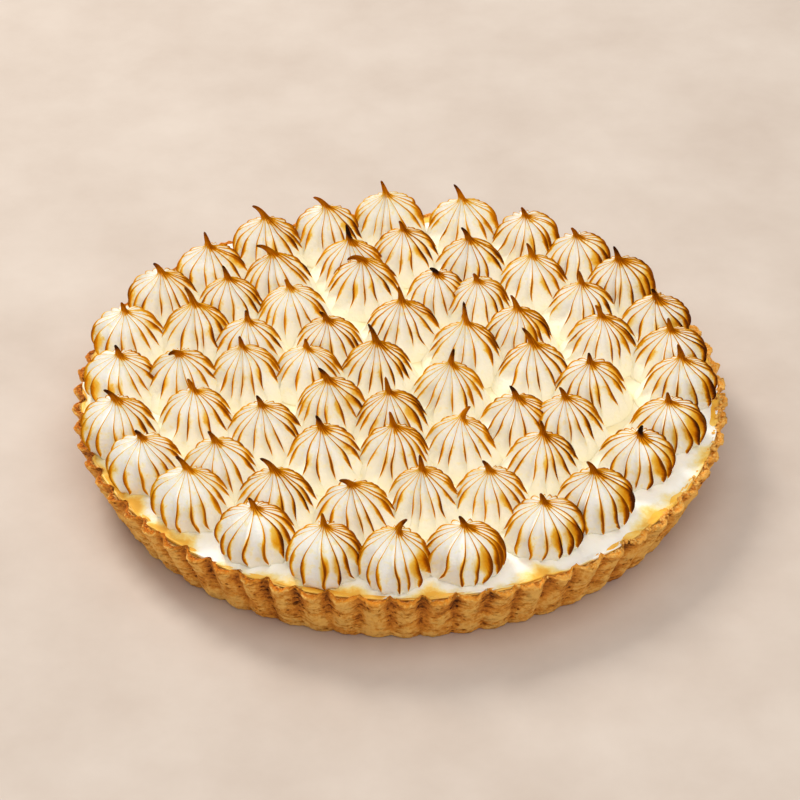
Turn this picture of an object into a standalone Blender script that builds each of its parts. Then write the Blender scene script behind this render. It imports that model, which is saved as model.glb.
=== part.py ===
"""A round lemon meringue tart, 28 cm across its fluted rim.

A baked pastry case holds a layer of lemon filling that runs right through it. A thin bed of
meringue is spread over the lemon. On the bed stand 65 piped meringue kisses: one in the middle
and four rings round it. Kisses of one ring press into each other, so each ring is one solid.

Metres, +Z up. The origin is the middle of the underside.
"""

import math
import random
from collections import namedtuple

import bmesh
import bpy
from mathutils import Quaternion, Vector

Kiss = namedtuple("Kiss", "middle turn half_along half_across")
Ring = namedtuple("Ring", "count radius first middle crowding half_across")

# Pastry case
RIM_RADIUS = 0.140  # over the flutes, at the rim
BASE_RADIUS = 0.1286  # over the flutes, at the underside
CRUST_HEIGHT = 0.0286
FLUTES = 67
FLUTE_DEPTH = 0.0031
FLUTE_SIDES = 3  # flat faces to each flute: two flanks and a broad front
FIRST_GROOVE = math.radians(-91.5)
LIP_RADIUS = 0.1348  # inside of the top edge
LIP_HEIGHT = 0.0280  # the top edge falls a little to the inside
FLOOR_RADIUS = 0.1200
FLOOR_THICKNESS = 0.004

# Layers inside the case
GAP = 0.0003  # kept between pieces that touch
LEMON_TOP = 0.0240
BED_TOP = 0.0275
BED_RADIUS = 0.1299
BED_EDGE_SIDES = 96
BED_EDGE_ROUND = 0.0016
BED_WAVES = ((5, 0.0010, 0.4), (9, 0.0007, 2.1), (14, 0.0004, 5.0))  # waves round, size, turn

# Kisses
MIDDLE_HALF_WIDTH = 0.0150
PRESSED_IN = 0.0009  # how far a kiss runs into its neighbour in the ring
KISS_HEIGHT = 0.0282
HEIGHT_SPREAD = 0.0012
RIDGES = 12
VALLEY = 0.90  # radius in the valleys, as a share of the radius on the ridges
BELLY_HEIGHT = 0.0070
SHOULDER_HEIGHT = 0.0165
PEAK_HEIGHT = 0.0218
BASE_SHARE = 0.82  # radii as shares of the belly's
SHOULDER_SHARE = 0.69
PEAK_SHARE = 0.19
PEAK_SIDES = 6
LEAN = 0.0016  # most that a peak is off its kiss's middle
SEED = 12

MIDDLE_KISS = Vector((-0.009, 0.006))
RING_SKEW = 0.02  # the rings are drawn out a little along one diagonal
# How many kisses, ring radius, angle of the first kiss in degrees, the ring's middle,
# crowding of its kisses towards +X, and half the width of a kiss across the ring
KISS_RINGS = (
    Ring(7, 0.034, 25.0, (-0.0060, 0.0050), -0.080, 0.0136),
    Ring(13, 0.062, -6.0, (-0.0045, 0.0045), 0.030, 0.0126),
    Ring(19, 0.090, 12.0, (-0.0030, 0.0035), 0.030, 0.0126),
    Ring(25, 0.118, 8.0, (-0.0015, 0.0025), 0.067, 0.0128),
)


def clear_scene():
    for obj in list(bpy.data.objects):
        bpy.data.objects.remove(obj, do_unlink=True)


def food_material(name, colour, roughness):
    material = bpy.data.materials.new(name)
    material.use_nodes = True
    shader = material.node_tree.nodes["Principled BSDF"]
    shader.inputs["Base Color"].default_value = (*colour, 1.0)
    shader.inputs["Roughness"].default_value = roughness
    shader.inputs["Metallic"].default_value = 0.0
    return material


def mesh_object(name, bm, material):
    """Closes the bmesh into an object of its own, with its faces pointing out."""
    bmesh.ops.recalc_face_normals(bm, faces=bm.faces)
    mesh = bpy.data.meshes.new(name)
    bm.to_mesh(mesh)
    bm.free()
    mesh.materials.append(material)
    obj = bpy.data.objects.new(name, mesh)
    bpy.context.scene.collection.objects.link(obj)
    return obj


def outline(bm, sides, height, place):
    """A closed loop of edges at one height. place(step, angle) gives each corner's (x, y)."""
    corners = bmesh.ops.create_circle(bm, cap_ends=False, segments=sides, radius=1.0)["verts"]
    for step, corner in enumerate(corners):
        corner.co = (*place(step, 2 * math.pi * step / sides), height)
    return list({edge for corner in corners for edge in corner.link_edges})


def skin(bm, loops):
    """Bridges each loop to the next, and caps the first and the last with one face."""
    for lower, upper in zip(loops, loops[1:]):
        bmesh.ops.bridge_loops(bm, edges=lower + upper)
    for end in (loops[0], loops[-1]):
        bmesh.ops.contextual_create(bm, geom=end)


def on_circle(angle, radius):
    return radius * math.cos(angle), radius * math.sin(angle)


def fluted(radius):
    """Places for an outline with a groove at the start of every flute."""

    def place(step, angle):
        in_groove = step % FLUTE_SIDES == 0
        return on_circle(FIRST_GROOVE + angle, radius - FLUTE_DEPTH * in_groove)

    return place


def inside_wall(height, gap):
    """Places for an outline on the inside of the wall, which is smooth and slopes out evenly."""
    share = (height - FLOOR_THICKNESS) / (LIP_HEIGHT - FLOOR_THICKNESS)
    radius = FLOOR_RADIUS + (LIP_RADIUS - FLOOR_RADIUS) * share - gap

    def place(step, angle):
        return on_circle(FIRST_GROOVE + angle, radius)

    return place


def make_crust():
    """Up the fluted outside, over the top edge, and down the inside to the floor."""
    bm = bmesh.new()
    skin(bm, [
        outline(bm, FLUTES * FLUTE_SIDES, 0.0, fluted(BASE_RADIUS)),
        outline(bm, FLUTES * FLUTE_SIDES, CRUST_HEIGHT, fluted(RIM_RADIUS)),
        outline(bm, FLUTES, LIP_HEIGHT, inside_wall(LIP_HEIGHT, 0.0)),
        outline(bm, FLUTES, FLOOR_THICKNESS, inside_wall(FLOOR_THICKNESS, 0.0)),
    ])
    return mesh_object("crust", bm, food_material("baked_pastry", (0.50, 0.24, 0.07), 0.75))


def make_lemon():
    """The filling reaches from the floor to its level, and out to the wall."""
    foot = FLOOR_THICKNESS + GAP
    bm = bmesh.new()
    skin(bm, [
        outline(bm, FLUTES, foot, inside_wall(foot, GAP)),
        outline(bm, FLUTES, LEMON_TOP, inside_wall(LEMON_TOP, GAP)),
    ])
    return mesh_object("lemon_filling", bm, food_material("lemon_curd", (0.90, 0.50, 0.06), 0.30))


def bed_edge(inset):
    """Places for the wavy edge of the spread meringue, drawn in by the inset."""

    def place(step, angle):
        wave = sum(size * math.sin(count * angle + turn) for count, size, turn in BED_WAVES)
        return on_circle(angle, BED_RADIUS + wave - inset)

    return place


def make_bed():
    bm = bmesh.new()
    skin(bm, [
        outline(bm, BED_EDGE_SIDES, LEMON_TOP + GAP, bed_edge(0.0)),
        outline(bm, BED_EDGE_SIDES, BED_TOP - BED_EDGE_ROUND, bed_edge(0.0)),
        outline(bm, BED_EDGE_SIDES, BED_TOP, bed_edge(BED_EDGE_ROUND)),
    ])
    return mesh_object("meringue_bed", bm, food_material("meringue", (0.92, 0.86, 0.68), 0.55))


def kiss_outline(bm, kiss, sides, share, height, ridged=False):
    """One level of a kiss: an oval, with every second corner drawn in where it is ridged."""

    def place(step, angle):
        depth = VALLEY if ridged and step % 2 else 1.0
        x = share * depth * kiss.half_along * math.cos(angle)
        y = share * depth * kiss.half_across * math.sin(angle)
        return kiss.middle + (kiss.turn @ Vector((x, y, 0.0))).to_2d()

    return outline(bm, sides, BED_TOP + GAP + height, place)


def make_kiss(name, kiss, draws, material):
    """A tucked-in foot, a ridged belly, a shoulder and a peak that leans to one side."""
    bm = bmesh.new()
    foot = kiss_outline(bm, kiss, RIDGES, BASE_SHARE, 0.0)
    belly = kiss_outline(bm, kiss, 2 * RIDGES, 1.0, BELLY_HEIGHT, ridged=True)
    shoulder = kiss_outline(bm, kiss, RIDGES, SHOULDER_SHARE, SHOULDER_HEIGHT)
    peak = kiss_outline(bm, kiss, PEAK_SIDES, PEAK_SHARE, PEAK_HEIGHT)
    for lower, upper in ((foot, belly), (belly, shoulder), (shoulder, peak)):
        bmesh.ops.bridge_loops(bm, edges=lower + upper)
    bmesh.ops.contextual_create(bm, geom=foot)
    drawn_up = bmesh.ops.extrude_edge_only(bm, edges=peak)["geom"]
    tip = [part for part in drawn_up if isinstance(part, bmesh.types.BMVert)]
    tip_place = (
        kiss.middle.x + draws.uniform(-LEAN, LEAN),
        kiss.middle.y + draws.uniform(-LEAN, LEAN),
        BED_TOP + GAP + KISS_HEIGHT + draws.uniform(-HEIGHT_SPREAD, HEIGHT_SPREAD),
    )
    bmesh.ops.pointmerge(bm, verts=tip, merge_co=tip_place)
    return mesh_object(name, bm, material)


def ring_places(ring):
    """Middles of the kisses of one ring, closer together towards +X by the ring's crowding."""
    places = []
    for step in range(ring.count):
        even = math.radians(ring.first) + 2 * math.pi * step / ring.count
        angle = even - ring.crowding * math.sin(even)
        x = ring.middle[0] + ring.radius * math.cos(angle)
        y = ring.middle[1] + ring.radius * math.sin(angle)
        places.append(Vector((x + RING_SKEW * y, y + RING_SKEW * x)))
    return places


def half_along(reach, turn, half_across):
    """Half length of an oval whose side is at the given reach, seen at a turn off its long axis."""
    return reach * math.cos(turn) / math.sqrt(1.0 - (reach * math.sin(turn) / half_across) ** 2)


def ring_kisses(ring):
    """The kisses of a ring, turned to lie along it and long enough to run into the next."""
    places = ring_places(ring)
    kisses = []
    for step, middle in enumerate(places):
        before = places[step - 1]
        after = places[(step + 1) % ring.count]
        turn = Vector((1.0, 0.0, 0.0)).rotation_difference((after - before).to_3d())
        reach = ((middle - before).length + (after - middle).length) / 4 + PRESSED_IN
        long_half = half_along(reach, math.pi / ring.count, ring.half_across)
        kisses.append(Kiss(middle, turn, long_half, ring.half_across))
    return kisses


def join_kisses(kisses, ring_name):
    """Unites the kisses of a ring into the first one, which becomes the ring's own solid."""
    first, *others = kisses
    first.name = ring_name
    helpers = bpy.data.collections.new(ring_name + "_others")
    bpy.context.scene.collection.children.link(helpers)
    for other in others:
        bpy.context.scene.collection.objects.unlink(other)
        helpers.objects.link(other)
        other.hide_render = True
        other.display_type = "WIRE"
    union = first.modifiers.new("union", "BOOLEAN")
    union.operation = "UNION"
    union.operand_type = "COLLECTION"
    union.collection = helpers
    union.solver = "EXACT"


def make_kisses():
    draws = random.Random(SEED)
    material = food_material("torched_meringue", (0.80, 0.55, 0.25), 0.55)
    middle = Kiss(MIDDLE_KISS, Quaternion(), MIDDLE_HALF_WIDTH, MIDDLE_HALF_WIDTH)
    make_kiss("kiss_middle", middle, draws, material)
    for number, ring in enumerate(KISS_RINGS, start=1):
        made = [
            make_kiss(f"kiss_{number}_{step}", kiss, draws, material)
            for step, kiss in enumerate(ring_kisses(ring))
        ]
        join_kisses(made, f"kiss_ring_{number}")


clear_scene()
make_crust()
make_lemon()
make_bed()
make_kisses()
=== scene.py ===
# %% [markdown]
# # Lemon meringue tart
# The object is a shallow fluted tart: a baked pastry case, a lemon filling, a smooth bed of meringue and
# rings of piped meringue kisses that were toasted with a torch. The CAD frame already holds every piece at
# its real size. Here each piece gets its true surface: the CAD solid says where it is and how big it is, and
# a finer mesh stands for it. The first step is to load the frame and to read the boxes of its pieces. The
# finished piece has to stay inside it.

import math
import random

import bmesh
import bpy
import numpy as np
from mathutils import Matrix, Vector, noise


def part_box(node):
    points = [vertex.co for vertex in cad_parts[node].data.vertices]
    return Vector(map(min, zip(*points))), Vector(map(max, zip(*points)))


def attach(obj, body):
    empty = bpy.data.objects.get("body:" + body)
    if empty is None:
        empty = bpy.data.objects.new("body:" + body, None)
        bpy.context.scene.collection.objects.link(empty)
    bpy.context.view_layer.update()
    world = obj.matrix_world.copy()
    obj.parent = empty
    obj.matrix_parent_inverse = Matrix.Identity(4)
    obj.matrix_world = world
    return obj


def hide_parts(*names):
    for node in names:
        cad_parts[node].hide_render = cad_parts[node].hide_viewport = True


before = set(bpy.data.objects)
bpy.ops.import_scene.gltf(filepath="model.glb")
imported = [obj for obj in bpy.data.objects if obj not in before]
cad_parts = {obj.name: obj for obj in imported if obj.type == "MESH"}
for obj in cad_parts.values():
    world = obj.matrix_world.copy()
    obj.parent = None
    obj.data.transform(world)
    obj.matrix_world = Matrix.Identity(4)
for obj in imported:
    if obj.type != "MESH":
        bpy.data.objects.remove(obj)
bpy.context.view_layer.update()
MM = 0.001
TAU = 2 * math.pi

crust_low, crust_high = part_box("crust")
lemon_low, lemon_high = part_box("lemon_filling")
bed_low, bed_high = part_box("meringue_bed")
ring_low, ring_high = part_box("kiss_ring_4")
RIM_RADIUS = crust_high.y
RIM_HEIGHT = crust_high.z
BED_TOP = bed_high.z
print("rim", round(RIM_RADIUS / MM, 1), "mm, rim top", round(RIM_HEIGHT / MM, 1), "mm")
print("bed top", round(BED_TOP / MM, 1), "mm, highest peak", round(ring_high.z / MM, 1), "mm")

# %% [markdown]
# ## Camera
# A tart is wide and low, so it is shown from above the table's edge, far away and with a long lens. The
# distance keeps the near and the far rim almost the same size. Working from a distance, a height angle and
# an aim point is easier to reason about than from three coordinates, so the place is worked out from them.

# %% the camera
CAMERA_DISTANCE = 1.2196
CAMERA_ELEVATION = math.radians(37.83)
AIM_HEIGHT = 0.0224
LENS = 126.5


def aimed(thing, target):
    """Turns a camera or a lamp at its place to face the target, with its top side up."""
    thing.rotation_euler = (Vector(target) - thing.location).to_track_quat("-Z", "Y").to_euler()


camera_data = bpy.data.cameras.new("camera")
camera_data.lens = LENS
camera_data.sensor_width = 36
camera = bpy.data.objects.new("camera", camera_data)
camera.location = CAMERA_DISTANCE * Vector((0, -math.cos(CAMERA_ELEVATION), math.sin(CAMERA_ELEVATION)))
aimed(camera, (0, 0, AIM_HEIGHT))
bpy.context.scene.collection.objects.link(camera)
bpy.context.scene.camera = camera
bpy.context.scene.view_settings.view_transform = "Standard"
print("camera at", [round(value, 3) for value in camera.location])

# %% [markdown]
# ## Helpers for materials
# Every finish below is a small net of nodes. Written out one call at a time such a net is long to read, so
# one helper adds a node, sets it up and joins its inputs. A second turns the three numbers of a display
# colour into the linear light that a shader works in, and a third makes a colour ramp from a few stops.

# %% node helpers


def tone(red, green, blue):
    """A display colour of 0 to 255 as the linear colour that a shader takes."""
    shares = [value / 255 for value in (red, green, blue)]
    return [s / 12.92 if s <= 0.04045 else ((s + 0.055) / 1.055) ** 2.4 for s in shares] + [1.0]


def add(tree, kind, inputs=None, **settings):
    """A new shader node. Its inputs are values, or the outputs of other nodes, which it is joined to."""
    made = tree.nodes.new("ShaderNode" + kind)
    for name, value in settings.items():
        setattr(made, name, value)
    for name, value in (inputs or {}).items():
        if isinstance(value, bpy.types.NodeSocket):
            tree.links.new(value, made.inputs[name])
        else:
            made.inputs[name].default_value = value
    return made


def maths(tree, operation, *values):
    """The output of a Math node."""
    return add(tree, "Math", dict(enumerate(values)), operation=operation).outputs[0]


def graded(tree, value, low, high, at_low, at_high):
    """value, carried smoothly from the span low..high to the span at_low..at_high."""
    spans = {"Value": value, "From Min": low, "From Max": high, "To Min": at_low, "To Max": at_high}
    return add(tree, "MapRange", spans, interpolation_type="SMOOTHSTEP").outputs[0]


def mixed(tree, share, first, second):
    """Two colours mixed: first where share is 0 and second where it is 1."""
    return add(tree, "Mix", {0: share, 6: first, 7: second}, data_type="RGBA").outputs[2]


def ramp(tree, value, stops):
    """A colour read from stops of (position, colour)."""
    made = add(tree, "ValToRGB", {"Fac": value})
    elements = made.color_ramp.elements
    while len(elements) < len(stops):
        elements.new(0.5)
    for element, (position, colour) in zip(elements, stops):
        element.position = position
        element.color = colour
    return made.outputs["Color"]


def clouds(tree, where, scale, detail=3.0, roughness=0.5):
    """Noise from 0 to 1 at points given by where, with scale features to the metre or unit."""
    settings = {"Vector": where, "Scale": scale, "Detail": detail, "Roughness": roughness}
    return add(tree, "TexNoise", settings).outputs["Fac"]


def new_material(name):
    """A material, its node tree, its shader, and the object's own coordinates in metres."""
    material = bpy.data.materials.new(name)
    material.use_nodes = True
    tree = material.node_tree
    return material, tree, tree.nodes["Principled BSDF"], add(tree, "TexCoord").outputs["Object"]


def attribute(tree, name):
    """A number that the mesh carries at each of its points."""
    return add(tree, "Attribute", attribute_name=name).outputs["Fac"]


def bumped(tree, shader, height, depth):
    """Gives the shader a bump, in metres of depth for heights of 0 to 1."""
    bump = add(tree, "Bump", {"Height": height, "Distance": depth, "Strength": 1.0})
    tree.links.new(bump.outputs["Normal"], shader.inputs["Normal"])


print("helpers ready")

# %% [markdown]
# ## Floor and light
# The floor is plain and pale. The light comes from behind and above on the left, as from a high window, so
# that the ridges throw small shadows towards the viewer and the near side of each kiss falls into a soft
# grey. A wide weak lamp overhead, a weaker one in front and a pale sky fill those shadows without flattening
# them.

# %% floor
FLOOR_SIZE = 6.0
floor_mesh = bpy.data.meshes.new("floor")
bm = bmesh.new()
bmesh.ops.create_grid(bm, x_segments=1, y_segments=1, size=FLOOR_SIZE / 2)
bm.to_mesh(floor_mesh)
bm.free()
floor = bpy.data.objects.new("floor", floor_mesh)
bpy.context.scene.collection.objects.link(floor)
floor_finish, tree, shader, place = new_material("pale_table")
mottle = clouds(tree, place, 14, 5, 0.6)
tree.links.new(
    ramp(tree, mottle, ((0.3, tone(190, 174, 160)), (0.7, tone(203, 189, 176)))),
    shader.inputs["Base Color"],
)
shader.inputs["Roughness"].default_value = 0.75
floor_mesh.materials.append(floor_finish)

# %% lamps


def lamp(name, place, size, watts, colour):
    """A square soft lamp at place, facing the tart."""
    data = bpy.data.lights.new(name, "AREA")
    data.size = size
    data.energy = watts
    data.color = colour
    made = bpy.data.objects.new(name, data)
    made.location = place
    aimed(made, (0, 0, 0.02))
    bpy.context.scene.collection.objects.link(made)


lamp("window", (-0.9, 1.1, 1.5), 0.7, 27.5, (1.0, 0.965, 0.91))
lamp("ceiling", (0.2, -0.5, 1.7), 1.4, 12, (1.0, 0.985, 0.95))
lamp("fill", (0.8, -1.4, 1.0), 1.2, 2.8, (1.0, 0.985, 0.96))
world = bpy.data.worlds.new("sky")
world.use_nodes = True
world.node_tree.nodes["Background"].inputs["Color"].default_value = (0.98, 0.985, 1.0, 1)
world.node_tree.nodes["Background"].inputs["Strength"].default_value = 0.58
bpy.context.scene.world = world
print("three lamps and a pale sky")

# %% [markdown]
# ## How a piece joins the frame
# Each new mesh becomes an object at the origin with its place in its points. It gets its material, rides on
# the frame's one body, and hides the CAD solids it stands for. Doing that in one helper means that no piece
# can miss a step.

# %% piece helper


def show(name, mesh, material, slot, *nodes):
    """The object of a finished mesh, riding on the tart in place of the CAD nodes named."""
    mesh.materials.clear()
    mesh.materials.append(material)
    mesh.shade_smooth()
    piece = bpy.data.objects.new(name, mesh)
    bpy.context.scene.collection.objects.link(piece)
    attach(piece, "root")
    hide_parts(*nodes)
    return piece


def spun(name, profile, steps):
    """A closed turned mesh from (height, radius) points that start and end on the axis.
    Each point is tagged with the row of the profile that it came from."""
    bm = bmesh.new()
    row = bm.verts.layers.int.new("row")
    chain = [bm.verts.new((radius, 0, height)) for height, radius in profile]
    for number, point in enumerate(chain):
        point[row] = number
    edges = [bm.edges.new(pair) for pair in zip(chain, chain[1:])]
    bmesh.ops.spin(
        bm, geom=chain + edges, cent=(0, 0, 0), axis=(0, 0, 1), dvec=(0, 0, 0),
        angle=TAU, steps=steps, use_merge=True,
    )
    bmesh.ops.remove_doubles(bm, verts=bm.verts, dist=1e-7)
    bmesh.ops.recalc_face_normals(bm, faces=bm.faces)
    mesh = bpy.data.meshes.new(name)
    bm.to_mesh(mesh)
    bm.free()
    return mesh


def points_of(mesh):
    """The mesh's points as rows of x, y, z."""
    flat = np.empty(len(mesh.vertices) * 3, np.float32)
    mesh.vertices.foreach_get("co", flat)
    return flat.reshape(-1, 3).astype(float)


def rows_of(mesh):
    """The profile row of each point of a spun mesh."""
    rows = np.empty(len(mesh.vertices), np.int32)
    mesh.attributes["row"].data.foreach_get("value", rows)
    return rows


def put_points(mesh, points):
    """Moves the mesh's points."""
    mesh.vertices.foreach_set("co", points.astype(np.float32).ravel())
    mesh.update()


def put_numbers(mesh, name, values):
    """Stores one number at each point of the mesh, for its material."""
    made = mesh.attributes.new(name, "FLOAT", "POINT")
    made.data.foreach_set("value", values.astype(np.float32))


def smooth_curve(points, parts):
    """A smooth curve through the points, with parts steps from each to the next (Catmull-Rom)."""
    knots = np.array(points, float)
    knots = np.vstack([2 * knots[0] - knots[1], knots, 2 * knots[-1] - knots[-2]])
    curve = []
    for a, b, c, d in zip(knots, knots[1:], knots[2:], knots[3:]):
        for t in np.arange(parts) / parts:
            bend = (2 * a - 5 * b + 4 * c - d) * t ** 2 + (3 * b - a - 3 * c + d) * t ** 3
            curve.append((2 * b + (c - a) * t + bend) / 2)
    return np.array(curve + [knots[-2]])


print("piece helpers ready")

# %% [markdown]
# ## The turned blank of a kiss
# A kiss is piped straight down through a star nozzle and pulled up at the end, so it is a round onion shape
# with a pointed peak and thin fins down its sides. It could be sculpted from a sphere, but a turned blank is
# easier to control: one smooth outline is spun round, and the fins are pulled out of it afterwards. The
# columns of the blank are bunched close to each fin, because a sharp fin needs points where it turns.

# %% outline and blank
# Height above the bed and reach from the axis, in millimetres. A side that stands free tucks in at its foot.
# A side that meets other kisses was squeezed by them, so it is more of a tent with a flared foot.
KISS_LEVELS = (-0.6, 2.4, 6.0, 9.4, 12.6, 15.3, 17.5, 19.1, 20.5, 22.2, 24.2, 26.0)
FREE_REACH = (13.2, 14.8, 15.8, 15.7, 14.7, 12.8, 9.4, 5.4, 2.3, 1.35, 0.95, 0.55)
SQUEEZED_REACH = (19.0, 17.4, 15.8, 14.6, 13.1, 11.0, 7.9, 4.7, 2.2, 1.35, 0.95, 0.55)
TIP = (26.6, 0.0)
COLUMN_SHARES = np.array([0.0, 0.035, 0.10, 0.25, 0.50, 0.75, 0.90, 0.965])
SHAFT = 17.5


def kiss_profile(reaches):
    """The smooth outline of a kiss, closed to the axis at both ends."""
    knots = list(zip(KISS_LEVELS, reaches))
    return np.vstack([(KISS_LEVELS[0], 0.0), smooth_curve(knots, 3), TIP])


free_profile = kiss_profile(FREE_REACH)
squeezed_profile = kiss_profile(SQUEEZED_REACH)
levels = free_profile[:, 0]


def kiss_blank(ridges):
    """A turned kiss with eight columns for each ridge."""
    return spun("kiss_blank", free_profile * MM, ridges * len(COLUMN_SHARES))


RIDGE_COUNTS = (17, 18, 19, 20)
blanks = {count: kiss_blank(count) for count in RIDGE_COUNTS}
print("blanks of", {count: len(mesh.polygons) for count, mesh in blanks.items()}, "faces")

# %% [markdown]
# ## Where the kisses stand
# The cook piped one kiss near the middle and then four rings round it by eye. So each ring is nearly a
# circle, a little off the centre and with its kisses closer together on one side, and every kiss has missed
# its place by a few millimetres. A rule for the ring and a seeded random slip for each kiss give the same
# easy unevenness each time the script runs.

# %% rings
RING_SKEW = 0.02
SLIP = 5.0 * MM
RINGS = {
    "kiss_ring_1": dict(count=7, radius=34.1, first=24.8, middle=(-5.6, 4.7), crowding=-0.081, seed=187704),
    "kiss_ring_2": dict(count=13, radius=62.1, first=-5.8, middle=(-4.9, 5.6), crowding=0.028, seed=250108),
    "kiss_ring_3": dict(count=19, radius=89.6, first=11.8, middle=(-3.5, 2.8), crowding=0.031, seed=307958),
    "kiss_ring_4": dict(count=25, radius=117.8, first=8.3, middle=(-1.4, 2.2), crowding=0.067, seed=376561),
}
MIDDLE_KISS = (-9.8, 6.6)
# A few kisses strayed further than the rest: by this much, in millimetres.
STRAYS = {
    "kiss_ring_2": {8: (-3, 3), 10: (4, -2), 11: (4, 2)},
    "kiss_ring_3": {9: (2, 5), 10: (0, 4), 11: (2, 6), 13: (-4, -1), 18: (-5, -3)},
    "kiss_ring_4": {2: (1, -4), 6: (0, -4), 9: (-2.5, 0), 10: (3, 1), 11: (0, 4), 12: (-1.5, 0), 13: (-2, 0), 14: (-2, 0), 18: (1, -7)},
}


def ring_places(strays, count, radius, first, middle, crowding, seed):
    """The places of a ring's kisses on the bed."""
    slips = random.Random(seed)
    places = []
    for step in range(count):
        even = math.radians(first) + TAU * step / count
        angle = even - crowding * math.sin(even)
        x = (middle[0] + radius * math.cos(angle)) * MM
        y = (middle[1] + radius * math.sin(angle)) * MM
        slip_x = SLIP * (2 * slips.random() - 1)
        slip_y = SLIP * (2 * slips.random() - 1)
        stray = strays.get(step + 1, (0, 0))
        slip_x += stray[0] * MM
        slip_y += stray[1] * MM
        places.append((x + RING_SKEW * y + slip_x, y + RING_SKEW * x + slip_y))
    return places


kiss_places = {"kiss_middle": [tuple(value * MM for value in MIDDLE_KISS)]}
for ring, rule in RINGS.items():
    kiss_places[ring] = ring_places(STRAYS.get(ring, {}), **rule)
print({ring: len(places) for ring, places in kiss_places.items()})

# %% [markdown]
# ## The size of each kiss
# Neighbouring kisses press into each other, so a kiss is as wide as the gap it was piped into. Its width
# along the ring comes from the kisses beside it in the ring, and its width across from the spacing of the
# rings. The outline above is for a free kiss, and these two numbers stretch or squeeze it.

# %% widths
PRESS = 0.0 * MM
ACROSS = 14.8 * MM
ACROSS_OUTER = 15.3 * MM
OUTLINE_REACH = 14.9 * MM
WIDEST = 15.6 * MM
NARROWEST = 13.0 * MM


def half_widths(places, number, across):
    """Half the width of a kiss along its ring and across it."""
    if len(places) == 1:
        return across, across
    here = Vector(places[number])
    before = Vector(places[number - 1])
    after = Vector(places[(number + 1) % len(places)])
    pitch = ((here - before).length + (here - after).length) / 2
    return min(max(pitch / 2 + PRESS, NARROWEST), WIDEST), across


widths = [half_widths(places, n, ACROSS)[0] for places in kiss_places.values() for n in range(len(places))]
print("half widths", round(min(widths) / MM, 1), "to", round(max(widths) / MM, 1), "mm")

# %% [markdown]
# ## Fins
# The star nozzle leaves a sharp fin at each of its teeth. The fins aren't evenly spaced: they lie wide apart
# on the side where the nozzle was held open and crowd together on the other. Each wanders a little, and most
# kick sideways at the foot, where the first blob of meringue spread out. Between two fins the surface is a
# hollow with a flat floor, steep only next to the fin, which is what makes the fin look thin.

# %% fins of one kiss
WIDE_SIDE = math.radians(-125)
SPACING_SWING = 0.31
SPACING_SLIP = 0.16
FIN_HEIGHTS = (0, 2, 5, 8, 12, 15, 17, 18.5, 20, 22, 26)
FREE_FINS = (1.0, 2.3, 3.5, 4.2, 4.4, 4.3, 3.8, 2.9, 1.1, 0.35, 0.1)
SQUEEZED_FINS = (0.1, 0.5, 1.6, 3.4, 4.3, 4.3, 3.8, 2.9, 1.1, 0.35, 0.1)
HOLLOW_SHARPNESS = 2.5


def fin_angles(count, draw):
    """The angle of each fin round the kiss, with one more for the first fin a turn later."""
    turn = draw.uniform(0, TAU)
    wide = WIDE_SIDE + draw.uniform(-0.4, 0.4)
    even = turn + TAU * np.arange(count) / count
    gaps = 1 + SPACING_SWING * np.cos(even - wide)
    gaps *= [1 + draw.uniform(-SPACING_SLIP, SPACING_SLIP) for _ in range(count)]
    return turn + np.concatenate([[0], np.cumsum(gaps)]) * TAU / gaps.sum()


def closed(values):
    """Values round the kiss with the first one repeated at the end."""
    return np.append(values, values[0])


def draws(draw, count, low, high):
    """count random values, closed round the kiss."""
    return closed(np.array([draw.uniform(low, high) for _ in range(count)]))


# %% [markdown]
# ## Shape of one kiss
# Every point of the blank has a row, which is a height, and a column, which is a share of the way from one
# fin to the next. So its new place follows from a short chain: turn it to its fin's angle, push it in by the
# depth of the hollow, stretch it to the kiss's width, and carry it along the kiss's bent axis. The same two
# numbers give what the finish needs later: how far the point is from the nearest fin, and how hot the torch
# was there. They are stored on the mesh.

# %% sculpting
TORCH_SIDE = math.radians(-15)
HOTTER_RIGHT = 0.2
FRONT = math.radians(-90)
BEND_START = 17.5
HIGHEST = ring_high.z - 0.3 * MM


def bent_axis(heights, draw):
    """The axis of a kiss in its own plane of bending: how far it leans and rises, and its tilt, at each row."""
    if draw.random() < 0.72:
        towards = math.pi + draw.uniform(-0.8, 0.8)
    else:
        towards = draw.uniform(0, TAU)
    curl = draw.uniform(0.1, 0.95)
    if draw.random() < 0.16:
        curl = draw.uniform(1.1, 2.0)
    share = np.clip((heights - BEND_START) / (heights[-1] - BEND_START), 0, 1)
    tilt = curl * share ** 1.3 + draw.uniform(0.0, 0.10) * np.clip(heights / SHAFT, 0, 1)
    steps = np.diff(heights, prepend=heights[0])
    lean = np.cumsum(np.sin(tilt) * steps)
    rise = heights[0] + np.cumsum(np.cos(tilt) * steps)
    return towards, lean, rise, tilt


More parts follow.
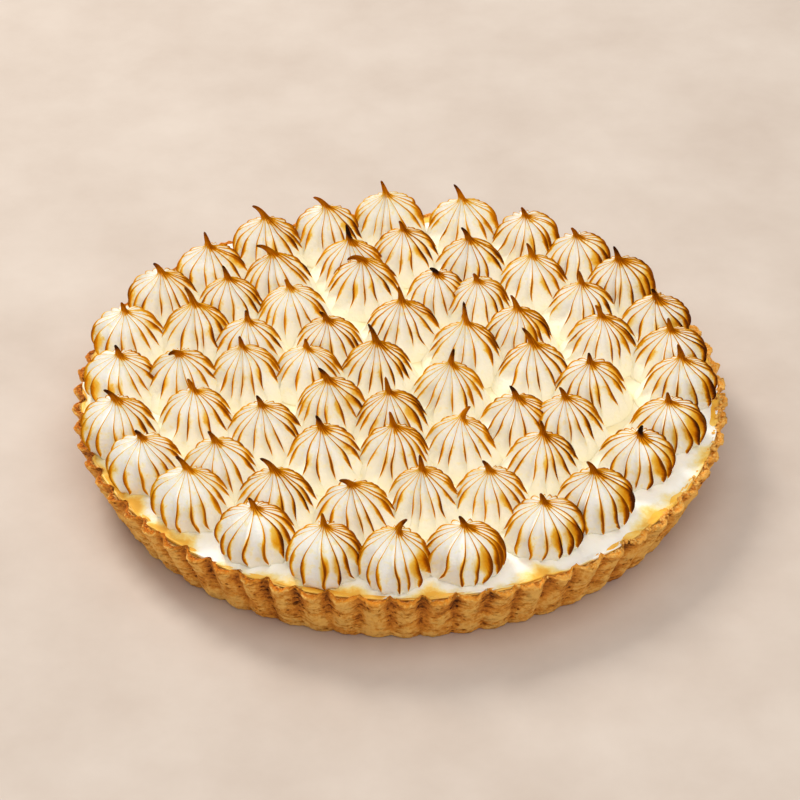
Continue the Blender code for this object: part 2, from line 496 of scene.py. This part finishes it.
def sculpt(blank, count, spot, halves, outer, draw):
    """A finished kiss at spot, with the numbers that its finish reads."""
    mesh = blank.copy()
    heights = levels.copy()
    stretch = draw.uniform(0.87, 1.0)
    peak_pull = draw.uniform(0.95, 1.65)
    heights[heights > SHAFT] = SHAFT + (heights[heights > SHAFT] - SHAFT) * peak_pull
    heights *= stretch
    towards, lean, rise, tilt = bent_axis(heights, draw)

    place = points_of(mesh)
    row = rows_of(mesh)
    columns = count * len(COLUMN_SHARES)
    column = np.round(np.arctan2(place[:, 1], place[:, 0]) / TAU * columns).astype(int) % columns
    fin = column // len(COLUMN_SHARES)
    share = COLUMN_SHARES[column % len(COLUMN_SHARES)]
    level = levels[row]

    angles = fin_angles(count, draw)
    kick = draws(draw, count, -0.17, 0.17)
    wave = draws(draw, count, -0.05, 0.05)
    phase = draws(draw, count, 0, TAU)
    depth = draws(draw, count, 0.78, 1.15)
    knob = draws(draw, count, -0.35, 0.55)
    twist = draw.uniform(-0.22, 0.22)
    bow = draws(draw, count, -0.12, 0.12)

    def at_fin(number):
        """Where a fin runs at each point's level."""
        foot = np.clip(1 - level / 7, 0, 1) ** 2
        sway = kick[number] * foot + wave[number] * np.sin(level / 2.6 + phase[number])
        sway += bow[number] * np.sin(np.clip(level / 20, 0, 1) * math.pi)
        return angles[number] + sway + twist * (1 - level / 20)

    first, second = at_fin(fin), at_fin(fin + 1)
    azimuth = first + share * (second - first)
    spacing = second - first
    away = math.atan2(spot[1], spot[0])
    free = np.clip(0.5 + 0.9 * np.cos(azimuth - away), 0, 1) if outer else np.zeros(len(place))
    smooth_reach = free_profile[row, 1] * free + squeezed_profile[row, 1] * (1 - free)
    relief = np.interp(level, FIN_HEIGHTS, FREE_FINS) * free
    relief += np.interp(level, FIN_HEIGHTS, SQUEEZED_FINS) * (1 - free)
    relief *= depth[fin] * (1 - share) + depth[fin + 1] * share
    relief *= np.minimum(1.15, np.sqrt(np.abs(spacing) * count / TAU))
    hollow = 1 - np.abs(2 * share - 1) ** HOLLOW_SHARPNESS
    near = np.minimum(share, 1 - share)
    nearest = np.where(share < 0.5, fin, fin + 1)
    bumps = knob[nearest] * np.exp(-((level - 18.5) / 1.6) ** 2) * np.exp(-((near / 0.1) ** 2))
    reach = smooth_reach - relief * hollow + bumps
    reach[smooth_reach == 0] = 0
    reach = np.maximum(reach, 0)

    flat = np.stack([np.cos(azimuth), np.sin(azimuth)], 1) * (reach * MM)[:, None]
    outward = np.array(spot) / max(np.hypot(*spot), 1e-9)
    along = np.array([-outward[1], outward[0]])
    body = np.clip((24 - level) / 12, 0, 1)[:, None]
    wide_along = 1 + body * (halves[0] / OUTLINE_REACH - 1)
    wide_across = 1 + body * (halves[1] / OUTLINE_REACH - 1)
    flat = (flat @ along)[:, None] * along * wide_along + (flat @ outward)[:, None] * outward * wide_across

    bend = np.array([math.cos(towards), math.sin(towards)])
    side = np.array([-bend[1], bend[0]])
    ahead = flat @ bend
    put = (ahead * np.cos(tilt[row]) + lean[row] * MM)[:, None] * bend + (flat @ side)[:, None] * side
    high = rise[row] * MM - ahead * np.sin(tilt[row]) + BED_TOP
    high *= 1 - np.clip(high.max() / HIGHEST - 1, 0, 1) * np.clip((level - SHAFT) / 5, 0, 1)
    put_points(mesh, np.column_stack([put + np.array(spot), high]))

    heat = draw.uniform(0.55, 1.0) if draw.random() < 0.85 else 0.35
    heat = min(max(heat + HOTTER_RIGHT * spot[0] / RIM_RADIUS, 0.3), 1.05)
    facing = np.cos(azimuth - TORCH_SIDE)
    toasted = 0.5 + 0.5 * facing
    shoulder = np.clip((level - 11.5) / 5.5, 0, 1)
    fin_heat = draws(draw, count, -0.16, 0.16)
    wide_gold = draws(draw, count, 0, 1)
    short = draws(draw, count, -1.2, 1.8)
    line = (0.73 + 0.12 * facing + fin_heat[nearest]) * (0.65 + 0.35 * heat)
    paler_top = 0.65 * (1 - heat) + 0.15
    line = line * np.interp(level, (12, 16, 19, 21), (1, 0.95 - 0.25 * paler_top, 0.75 - 0.45 * paler_top, 0.5))
    line_from = 6.3 + short[nearest] - 6.0 * free
    line_full = line_from + 5.0 - 2.6 * free
    ending = np.clip((level - line_from) / (line_full - line_from), 0, 1)
    gold_ending = np.clip((level - line_from) / (line_full + 3.5 - line_from), 0, 1)
    seen_from = angles[nearest] + np.where(share < 0.5, 1, -1) * 0.5
    fronted = 0.5 + 0.5 * np.cos(seen_from - FRONT)
    gold = wide_gold[nearest] ** (4 - 1.5 * free) * (0.1 + 0.9 * fronted) * (0.6 + 0.4 * heat) + 0.42 - 0.06 * free
    gold = gold * np.interp(level, (1.0, 5.0, 9, 13, 17, 19), (0.0, 0.6, 1, 0.95, 0.42, 0.5))
    narrowing = np.interp(level, (0, 5, 9, 13, 16, 19), (1.2, 1.1, 1.0, 1.0, 1.15, 1.5)) * (1.2 - 0.4 * fronted)
    narrowing *= 0.92 + 0.02 * free
    peak_from = 19.8 - 1.5 * facing - 1.6 * (heat - 0.75)
    char = draw.uniform(0.55, 1.0) if draw.random() < 0.94 else 1.7
    narrowing *= 1.25 - 0.4 * toasted + shoulder * (1.0 * paler_top + (0.25 + 0.55 * free) * (1 - toasted))
    narrowing /= np.maximum(ending, 0.05) ** 0.6
    below_fin = 0.7 * relief * hollow
    put_numbers(mesh, "fin_line", np.clip(line, 0.2, 0.94) * np.clip(ending * 3, 0, 1))
    gold *= (0.64 + 0.45 * toasted) * (1 - 0.6 * shoulder * (1 - toasted * heat))
    gold *= np.interp(np.abs(spacing) * smooth_reach, (2.2, 5.5), (0.75, 1))
    narrowing *= np.interp(np.abs(spacing) * smooth_reach, (2.2, 5.0), (1.1, 1))
    put_numbers(mesh, "gold", np.clip(gold, 0, 1) * gold_ending)
    put_numbers(mesh, "fin_gap", np.hypot(near * np.abs(spacing) * smooth_reach, below_fin) * narrowing)
    put_numbers(mesh, "peak", np.clip((level - peak_from) / (26.6 - peak_from), 0, 1) * char)
    # Painted warm bounce light and shade: a cream tint low on each kiss, strongest where it presses against other
    # kisses.
    put_numbers(mesh, "painted_bounce_shade", np.clip(1 - level / (15 - 8 * free), 0, 1) * (1 - 0.75 * free))
    flow = mesh.attributes.new("flow", "FLOAT_VECTOR", "POINT")
    bound = np.column_stack([np.cos(azimuth) * 3, np.sin(azimuth) * 3, level * 0.05])
    flow.data.foreach_set("vector", (bound + draw.uniform(0, 50)).astype(np.float32).ravel())
    return mesh


print("sculpting ready")

# %% [markdown]
# ## Torched meringue
# Meringue is matt and nearly white, and a little light goes into it. The torch browns what stands out: the
# edge of each fin goes dark brown, a golden shade fades from it into the hollow, and the thin peak burns
# almost black. One heat value holds all of that. It is built from the numbers stored on the mesh, broken up
# by streaks that run down the kiss, and one colour ramp turns heat into colour, as sugar browns in one fixed
# order: white, cream, gold, amber, brown, black.

# %% meringue finish
BROWNING = (
    (0.00, tone(245, 242, 234)), (0.08, tone(249, 241, 210)), (0.20, tone(246, 206, 94)),
    (0.36, tone(236, 166, 28)), (0.54, tone(208, 122, 4)), (0.72, tone(152, 76, 0)),
    (0.90, tone(76, 34, 8)), (1.00, tone(32, 18, 12)),
)
# The cream of the painted warm bounce light and shade at the feet of the kisses.
BOUNCE_SHADE_CREAM = tone(248, 240, 212)

meringue, tree, shader, place = new_material("torched_meringue")
flow = add(tree, "Attribute", attribute_name="flow").outputs["Vector"]
streaks = clouds(tree, flow, 2.6, 4, 0.62)
spots = clouds(tree, place, 420, 3, 0.55)
gap = maths(tree, "ADD", attribute(tree, "fin_gap"), graded(tree, streaks, 0.3, 0.7, -0.2, 0.3))
edge = maths(tree, "MULTIPLY", graded(tree, gap, 0.3, 1.45, 0.95, 0.0), attribute(tree, "fin_line"))
glow_reach = graded(tree, attribute(tree, "gold"), 0.0, 1.0, 2.1, 5.2)
glow = maths(tree, "MULTIPLY", graded(tree, gap, glow_reach, 0.3, 0.0, 0.46), attribute(tree, "gold"))
peak = maths(tree, "ADD", attribute(tree, "peak"), graded(tree, spots, 0.3, 0.7, -0.07, 0.07))
burnt = graded(tree, peak, 0.30, 1.0, 0.0, 0.56)
burnt = maths(tree, "ADD", burnt, graded(tree, peak, 0.0, 0.22, 0.0, 0.42))
cool = maths(tree, "SUBTRACT", 1.0, edge)
for heat in (glow, burnt):
    cool = maths(tree, "MULTIPLY", cool, maths(tree, "SUBTRACT", 1.0, heat))
total = maths(tree, "SUBTRACT", 1.0, cool)
browned = ramp(tree, total, BROWNING)
# Painted warm bounce light and shade: where it isn't browned, the foot of each kiss is tinted cream, most where kisses
# crowd together.
bounce_shade = maths(tree, "MULTIPLY", attribute(tree, "painted_bounce_shade"), graded(tree, total, 0.0, 0.2, 1.0, 0.0))
finished = mixed(tree, bounce_shade, browned, BOUNCE_SHADE_CREAM)
tree.links.new(finished, shader.inputs["Base Color"])
shader.inputs["Roughness"].default_value = 0.62
shader.inputs["Specular IOR Level"].default_value = 0.02
shader.inputs["Subsurface Weight"].default_value = 0.06
shader.inputs["Subsurface Radius"].default_value = (1.0, 0.8, 0.5)
shader.inputs["Subsurface Scale"].default_value = 0.0015
unevenness = maths(tree, "ADD", clouds(tree, place, 900, 3, 0.6), clouds(tree, place, 240, 3, 0.55))
bumped(tree, shader, unevenness, 0.0003)
print("meringue:", len(tree.nodes), "nodes")

# %% [markdown]
# ## Piping the kisses
# With the blank, the fins and the places ready, piping is one loop. Every kiss draws its own random values
# from one seeded source, in a fixed order, so the tart is the same each time. The kisses stay separate
# pieces, as they are on the real tart, and each one stands for its ring's CAD solid.

# %% pipe all kisses
KISS_SEED = 41
draw = random.Random(KISS_SEED)
kisses = []
for node, places in kiss_places.items():
    for number, spot in enumerate(places):
        count = draw.choice(RIDGE_COUNTS)
        outer = node == "kiss_ring_4"
        halves = half_widths(places, number, ACROSS_OUTER if outer else ACROSS)
        mesh = sculpt(blanks[count], count, spot, halves, outer, draw)
        mesh.name = f"{node}_{number + 1:02d}"
        kisses.append(show(f"piped_{node}_{number + 1:02d}", mesh, meringue, "torched_meringue", node))
tops = [max(points_of(kiss.data)[:, 2]) for kiss in kisses]
print(len(kisses), "kisses, peaks from", round(min(tops) / MM, 1), "to", round(max(tops) / MM, 1), "mm")

# %% [markdown]
# ## The fluted edge
# The tart was baked in a fluted tin, so its wall is a row of rounded lobes with grooves between them, deeper
# towards the rim. The depth of that fluting is one rule, and two pieces need it: the pastry, which it shapes,
# and the meringue, which was spread up to the wavy rim. So it is written down before either of them.

# %% fluting
FLUTES = 67
FIRST_GROOVE = math.radians(-91.5)
FLUTE_AT_FOOT = 1.7
FLUTE_AT_RIM = 4.1
DEEPER_IN_FRONT = 0.5
CRUMBLED = 1.0
CRUMBLY_SIDE = math.radians(-10)
DEEPEST = 5.2


def wander(angle, size, seed):
    """A smooth random value from about -1 to 1 that closes round the tart, with about size waves."""
    spread = size / TAU
    return noise.noise((spread * math.cos(angle) * 1.6, spread * math.sin(angle) * 1.6, seed))


def flute_depth(angle, height):
    """How far the wall lies inside its lobes, in millimetres."""
    share = ((angle + 0.006 * wander(angle, 90, 5.5) - FIRST_GROOVE) / TAU * FLUTES) % 1.0
    rise = min(height / RIM_HEIGHT, 1.0)
    rim_depth = FLUTE_AT_RIM + DEEPER_IN_FRONT * math.cos(angle - FRONT) + 1.2 * wander(angle, 110, 0.7)
    rim_depth -= CRUMBLED * max(0.0, math.cos(angle - CRUMBLY_SIDE))
    round_off = 1.1 + 0.35 * rise
    return (FLUTE_AT_FOOT + (rim_depth - FLUTE_AT_FOOT) * rise) * (1 - math.sin(math.pi * share) ** round_off)


depths = [flute_depth(math.radians(degree), RIM_HEIGHT) for degree in range(360)]
print("flutes at the rim up to", round(max(depths), 1), "mm deep")

# %% [markdown]
# ## Smooth bed of meringue
# Under the kisses a thin layer of the same meringue was spread nearly to the rim with a spatula. Its top is
# level with slow lumps, and its edge wanders: in some places it reaches the pastry and in others it stops
# short and shows the lemon. It is a spun disc whose outer rows are pulled to that wandering edge.

# %% bed
BED_ROWS = ((25.0, 0), (25.0, 120), (25.2, 131.0), (25.6, 133.0), (26.0, 133.2), (26.3, 132.3), (26.6, 131.0),
            (26.9, 129.5), (27.1, 128), (27.3, 126), (27.4, 123.5), (27.4, 121), (27.4, 118), (27.4, 114),
            (27.4, 108), (27.4, 98), (27.4, 84), (27.4, 64), (27.4, 38), (27.4, 0))
BED_SIDES = 600
OVER_RIM = 133.4 * MM
FURTHEST = 136.0
LEFT_BARE = 1.5
# Where lemon has crept under the edge and colours it: the angle and half width in degrees, and the reach in
# millimetres.
GOLDEN_SPOTS = (
    (-174, 12, 1.0), (-150, 12, 8.0), (-134, 9, 8.0), (-112, 5, 5.5), (-98, 4, 5.5), (-84, 5, 6.0),
    (-66, 6, 7.0), (-38, 7, 7.0), (-22, 6, 6.0), (35, 7, 5.5), (96, 9, 4.0), (150, 8, 3.0),
)
EDGE_FROM = 112 * MM


def edge_shift(angle):
    """How far the edge of the bed lies outside its mean, in millimetres."""
    return 2.0 * wander(angle, 9, 3.1) + 3.0 * wander(angle, 24, 8.7) + 2.5 * wander(angle, 60, 1.9) + 2.4


def golden(angle):
    """How far in from its edge the bed is golden at an angle, in millimetres."""
    reaches = []
    for spot, half, reach in GOLDEN_SPOTS:
        turn = (math.degrees(angle) - spot + 180) % 360 - 180
        reaches.append(reach * math.exp(-(turn / half) ** 2))
    return max(reaches)


bed_mesh = spun("bed", np.array(BED_ROWS) * MM, BED_SIDES)
points = points_of(bed_mesh)
inside = np.zeros(len(points))
for number, point in enumerate(points):
    radius = math.hypot(point[0], point[1])
    angle = math.atan2(point[1], point[0])
    inside[number] = 133.6 - radius / MM + 2.4 * wander(angle, 70, 6.1) - golden(angle)
    if radius > EDGE_FROM:
        share = min((radius - EDGE_FROM) / (131 * MM - EDGE_FROM), 1.0)
        bare = 140 - flute_depth(angle, RIM_HEIGHT) - LEFT_BARE
        wider = min(radius + share ** 2 * edge_shift(angle) * MM, min(FURTHEST, bare) * MM)
        point[:2] *= wider / radius
        point[2] += min(max(wider - OVER_RIM, 0) * 0.85, 2.3 * MM)
    if point[2] > 25.8 * MM:
        fold = noise.noise((point[0] * 70, point[1] * 70, 0.5)) + 0.6 * noise.noise((point[0] * 190, point[1] * 190, 4.0))
        point[2] += 0.75 * MM * fold
put_points(bed_mesh, points)
put_numbers(bed_mesh, "inside", inside)

bed_finish, tree, shader, place = new_material("smooth_meringue")
across = add(tree, "VectorMath", {0: place}, operation="LENGTH").outputs["Value"]
smears = clouds(tree, place, 110, 5, 0.65)
# Painted warm bounce light: inside the outer ring of kisses the bed is tinted cream, as light bounces between the
# kisses.
painted_bounce_between_kisses = graded(tree, across, 0.118, 0.100, 0.0, 0.42)
thin = maths(tree, "ADD", attribute(tree, "inside"), graded(tree, smears, 0.3, 0.7, 1.4, -1.4))
see_through = graded(tree, thin, 3.4, -5.0, 0.0, 1.0)
cream = maths(tree, "ADD", maths(tree, "MAXIMUM", painted_bounce_between_kisses, see_through), graded(tree, smears, 0.4, 0.7, 0.0, 0.1))
tree.links.new(
    ramp(tree, cream, (
        (0.0, tone(255, 251, 240)), (0.2, tone(252, 246, 228)), (0.42, tone(246, 233, 194)),
        (0.62, tone(250, 226, 156)), (0.85, tone(246, 202, 100)), (1.0, tone(240, 178, 60)),
    )),
    shader.inputs["Base Color"],
)
shader.inputs["Roughness"].default_value = 0.5
bumped(tree, shader, clouds(tree, place, 320, 4, 0.6), 0.0003)
shader.inputs["Subsurface Weight"].default_value = 0.2
shader.inputs["Subsurface Radius"].default_value = (1.0, 0.8, 0.5)
shader.inputs["Subsurface Scale"].default_value = 0.003
show("spread_meringue", bed_mesh, bed_finish, "meringue", "meringue_bed")
print("bed out to", round(max(np.hypot(points[:, 0], points[:, 1])) / MM, 1), "mm")

# %% [markdown]
# ## Lemon filling
# The filling is a set lemon curd. Only a narrow ring of it shows, between the meringue and the pastry, where
# it creeps up the wall a little. It is deep yellow, slightly see-through and wetter than what is round it,
# so its surface is smoother and glossier.

# %% lemon
LEMON_ROWS = ((4.4, 0), (4.4, 118), (12, 126), (24.0, 133.2), (27.3, 136.0), (27.2, 134.8), (26.8, 133.4),
              (26.3, 131.5), (25.9, 128), (25.6, 120), (25.6, 0))
LEMON_SIDES = 1005
lemon_mesh = spun("lemon", np.array(LEMON_ROWS) * MM, LEMON_SIDES)
points = points_of(lemon_mesh)
for point in points:
    if point[2] > 25 * MM:
        angle = math.atan2(point[1], point[0])
        bare = (140 - flute_depth(angle, RIM_HEIGHT) - LEFT_BARE - 0.6) * MM
        point[:2] *= min(bare / max(math.hypot(point[0], point[1]), MM), 1)
        point[2] += 0.35 * MM * noise.noise((point[0] * 140, point[1] * 140, 2.0))
put_points(lemon_mesh, points)

lemon_finish, tree, shader, place = new_material("lemon_curd")
depth = clouds(tree, place, 90, 4, 0.6)
tree.links.new(
    ramp(tree, depth, ((0.3, tone(236, 160, 34)), (0.52, tone(246, 190, 66)), (0.75, tone(250, 214, 118)))),
    shader.inputs["Base Color"],
)
shader.inputs["Roughness"].default_value = 0.32
bumped(tree, shader, clouds(tree, place, 500, 4, 0.6), 0.00025)
show("lemon_curd", lemon_mesh, lemon_finish, "lemon_curd", "lemon_filling")
print("lemon ready")

# %% [markdown]
# ## Pastry case
# Baked short pastry has pits, small level cracks and a crumbly top edge as well as its flutes.
# Those are large enough to catch the light, so they are shaped in the mesh: a fine wall is spun first, and
# every point is then pushed in or out by the flutes and by several layers of noise.

# %% pastry shape
COLUMNS_PER_FLUTE = 20
FOOT_RADIUS = 128.6
WALL_STEPS = 34
RIM_ROWS = ((28.1, 139.7), (28.5, 138.9), (28.5, 138.0), (28.1, 137.2), (27.6, 136.4), (27.1, 135.6),
            (26.6, 134.9), (26.0, 134.5), (24.5, 133.9), (18, 130.5), (4.3, 120), (4.3, 0))
OUTERMOST = 139.9


def wall_radius(height):
    """The mean outer radius of the wall at a height, both in millimetres: it flares, and rounds in at the foot."""
    rise = height / 27.6
    return FOOT_RADIUS + (140.0 - FOOT_RADIUS) * rise ** 1.08 - 1.1 * (1 - rise) ** 14


wall = [(height, wall_radius(height)) for height in np.linspace(0, 27.6, WALL_STEPS)]
crust_rows = [(0.0, 0.0), (0.0, 60.0), (0.0, 110.0), (0.0, 125.5)] + wall + list(RIM_ROWS)
crust_mesh = spun("crust", np.array(crust_rows) * MM, FLUTES * COLUMNS_PER_FLUTE)
crust_row = rows_of(crust_mesh)
FIRST_WALL_ROW = 4
LAST_WALL_ROW = FIRST_WALL_ROW + WALL_STEPS + 1
print("pastry:", len(crust_mesh.polygons), "faces")

# %% pastry relief
INNER_EDGE = 134.5


def crumb(angle, height, radius):
    """The pastry's own relief in millimetres, below 0 for pits and cracks."""
    spot = Vector((math.cos(angle) * radius, math.sin(angle) * radius, height)) / MM
    level_cracks = noise.noise(Vector((spot.x / 5.5, spot.y / 5.5, spot.z / 1.1)))
    lumps = noise.noise(spot / 7)
    grains = noise.noise(spot / 1.7)
    pit = noise.voronoi(spot / 4.4)[0][0]
    pit_here = noise.noise(spot / 9 + Vector((7, 3, 1))) > 0.05
    depth = -1.5 * max(0.0, 1 - pit / 0.27) if pit_here else 0.0
    return 0.55 * lumps + 0.5 * grains + depth - 1.1 * max(0.0, level_cracks - 0.2)


points = points_of(crust_mesh)
relief = np.zeros(len(points))
groove_depth_and_shade = np.zeros(len(points))
over = np.clip(crust_row - LAST_WALL_ROW, -6, 12)
for number, point in enumerate(points):
    row = crust_row[number]
    radius = math.hypot(point[0], point[1])
    if row < 3 or radius < 100 * MM or row > LAST_WALL_ROW + 9:
        continue
    angle = math.atan2(point[1], point[0])
    height = point[2]
    flute = flute_depth(angle, height)
    groove_depth_and_shade[number] = flute / DEEPEST
    if row > LAST_WALL_ROW:
        flute *= 0.3 + 0.7 * min(max((radius / MM - INNER_EDGE) / (140 - INNER_EDGE), 0), 1)
    relief[number] = crumb(angle, height, radius)
    if row == 3:
        flute = flute_depth(angle, 0)
        relief[number] = 0
    inward = -1 if row > LAST_WALL_ROW + 4 else 1
    moved = min(radius / MM + inward * relief[number] - flute, OUTERMOST)
    point[:2] *= moved * MM / radius
    if row >= LAST_WALL_ROW - 5:
        crumbly = 0.7 + 0.8 * max(0.0, math.cos(angle - CRUMBLY_SIDE))
        rag = 0.8 * wander(angle, 150, 2.2) + 1.1 * wander(angle, 420, 6.6) + 0.6 * wander(angle, 26, 9.1)
        rag += 0.9 * noise.noise(Vector(point) / (1.6 * MM)) + 0.8 * groove_depth_and_shade[number] - 0.3
        on_crest = min((row - LAST_WALL_ROW + 6) / 4, 1) * min(max((LAST_WALL_ROW + 7 - row) / 4, 0.2), 1)
        point[2] += MM * (rag * crumbly - 0.6) * on_crest
    point[2] = min(max(point[2], 0), RIM_HEIGHT)
angles = np.arctan2(points[:, 1], points[:, 0])
put_points(crust_mesh, points)
# The relief and the groove depth also drive the finish's painted shade: low spots and grooves are coloured darker.
put_numbers(crust_mesh, "relief", relief)
put_numbers(crust_mesh, "groove_depth_and_shade", groove_depth_and_shade)
put_numbers(crust_mesh, "over_rim", over.astype(float))
put_numbers(crust_mesh, "left_side", 0.5 - 0.5 * np.cos(angles))
radii = np.hypot(points[:, 0], points[:, 1])
print("pastry rim out to", round(radii.max() / MM, 2), "mm")

# %% [markdown]
# ## Baked pastry finish
# Baked pastry is golden on its lobes, with uneven patches and grain, and the thin top edge, which met the heat first,
# is toasted orange. The grooves are painted a duller brown as shade, and the pits, cracks and low spots are painted
# darker still, as the shade that falls in them. Height and the stored groove depth and relief numbers drive those
# shades, with noise to break their edges.

# %% pastry finish
pastry, tree, shader, place = new_material("baked_pastry")
patches = clouds(tree, place, 70, 5, 0.6)
blots = clouds(tree, place, 45, 3, 0.6)
grain = clouds(tree, place, 900, 4, 0.7)
# Fine holes and level cracks: they give the bump, and they are painted dark as the shade that falls in them.
cells = add(tree, "TexVoronoi", {"Vector": place, "Scale": 330, "Randomness": 1.0}).outputs["Distance"]
holes = maths(tree, "MULTIPLY", graded(tree, cells, 0.10, 0.26, 1.0, 0.0), graded(tree, patches, 0.42, 0.56, 0.0, 1.0))
layered = add(tree, "Mapping", {"Vector": place, "Scale": (1, 1, 4.5)}).outputs["Vector"]
cracks = clouds(tree, layered, 150, 5, 0.65)
cracks = graded(tree, cracks, 0.44, 0.36, 0.0, 1.0)
# Painted shade: deeper grooves, lower relief, cracks and holes push the colour darker; patches and grain are the
# pastry's own uneven bake.
bake_and_shade = maths(tree, "ADD", graded(tree, attribute(tree, "groove_depth_and_shade"), 0.12, 0.75, -0.02, 0.46), graded(tree, patches, 0.3, 0.7, -0.12, 0.24))
bake_and_shade = maths(tree, "ADD", bake_and_shade, graded(tree, attribute(tree, "relief"), 0.3, -0.8, -0.06, 0.45))
bake_and_shade = maths(tree, "ADD", bake_and_shade, graded(tree, grain, 0.3, 0.7, -0.16, 0.16))
bake_and_shade = maths(tree, "ADD", bake_and_shade, maths(tree, "MULTIPLY", cracks, 0.20))
bake_and_shade = maths(tree, "ADD", bake_and_shade, maths(tree, "MULTIPLY", holes, 0.42))
side = ramp(tree, bake_and_shade, (
    (0.0, tone(252, 194, 98)), (0.25, tone(236, 158, 58)), (0.55, tone(204, 122, 36)),
    (0.8, tone(142, 78, 16)), (1.0, tone(76, 38, 8)),
))
over_rim = maths(tree, "ADD", attribute(tree, "over_rim"), graded(tree, grain, 0.3, 0.7, -1.0, 1.0))
crest = maths(tree, "MULTIPLY", graded(tree, over_rim, -2.2, 0.2, 0.0, 1.0), graded(tree, over_rim, 5.0, 2.5, 0.0, 1.0))
crest_heat = maths(tree, "ADD", grain, graded(tree, attribute(tree, "left_side"), 0.1, 1.0, 0.15, -0.14))
crest_tone = ramp(tree, crest_heat, (
    (0.28, tone(128, 64, 12)), (0.4, tone(198, 106, 16)), (0.58, tone(232, 146, 38)), (0.8, tone(244, 194, 106)),
))
smeared = maths(tree, "MULTIPLY", graded(tree, over_rim, 1.5, 4.0, 0.0, 1.0), graded(tree, blots, 0.42, 0.56, 0.35, 1.0))
smear_tone = ramp(tree, patches, ((0.3, tone(230, 168, 60)), (0.55, tone(244, 208, 122)), (0.75, tone(252, 236, 194))))
topped = mixed(tree, crest, side, crest_tone)
tree.links.new(mixed(tree, smeared, topped, smear_tone), shader.inputs["Base Color"])
shader.inputs["Roughness"].default_value = 0.75
shader.inputs["Specular IOR Level"].default_value = 0.15
rough = maths(tree, "SUBTRACT", maths(tree, "SUBTRACT", grain, holes), maths(tree, "MULTIPLY", cracks, 0.5))
bumped(tree, shader, rough, 0.0007)
show("pastry_case", crust_mesh, pastry, "baked_pastry", "crust")

# %% [markdown]
# ## Loose crumbs
# Where the edge crumbled, a few crumbs lie on the rim and on the meringue beside it. Each is a small ball with
# its points pushed about, and all of them are one piece with the pastry's own finish.

# %% crumbs
CRUMB_SEED = 12
CRUMBS = 70
scatter = random.Random(CRUMB_SEED)
bm = bmesh.new()
for _ in range(CRUMBS):
    angle = CRUMBLY_SIDE + scatter.gauss(-0.25, 0.32)
    radius = scatter.uniform(134.8, 138.3)
    size = scatter.uniform(0.3, 0.8)
    made = bmesh.ops.create_icosphere(bm, subdivisions=2, radius=size * MM)
    middle = Vector((radius * math.cos(angle), radius * math.sin(angle), 27.7 + scatter.uniform(0, 0.5))) * MM
    for point in made["verts"]:
        point.co *= 1 + 0.8 * noise.noise(point.co / (0.5 * MM) + middle * 900)
        point.co += middle
crumb_mesh = bpy.data.meshes.new("crumbs")
bm.to_mesh(crumb_mesh)
bm.free()
put_numbers(crumb_mesh, "over_rim", np.full(len(crumb_mesh.vertices), -5.0))
# A high relief number keeps the crumbs out of the painted shade of the pits and low spots, so they stay pale.
put_numbers(crumb_mesh, "relief", np.full(len(crumb_mesh.vertices), 0.8))
show("pastry_crumbs", crumb_mesh, pastry, "baked_pastry", "crust")
print(CRUMBS, "crumbs")
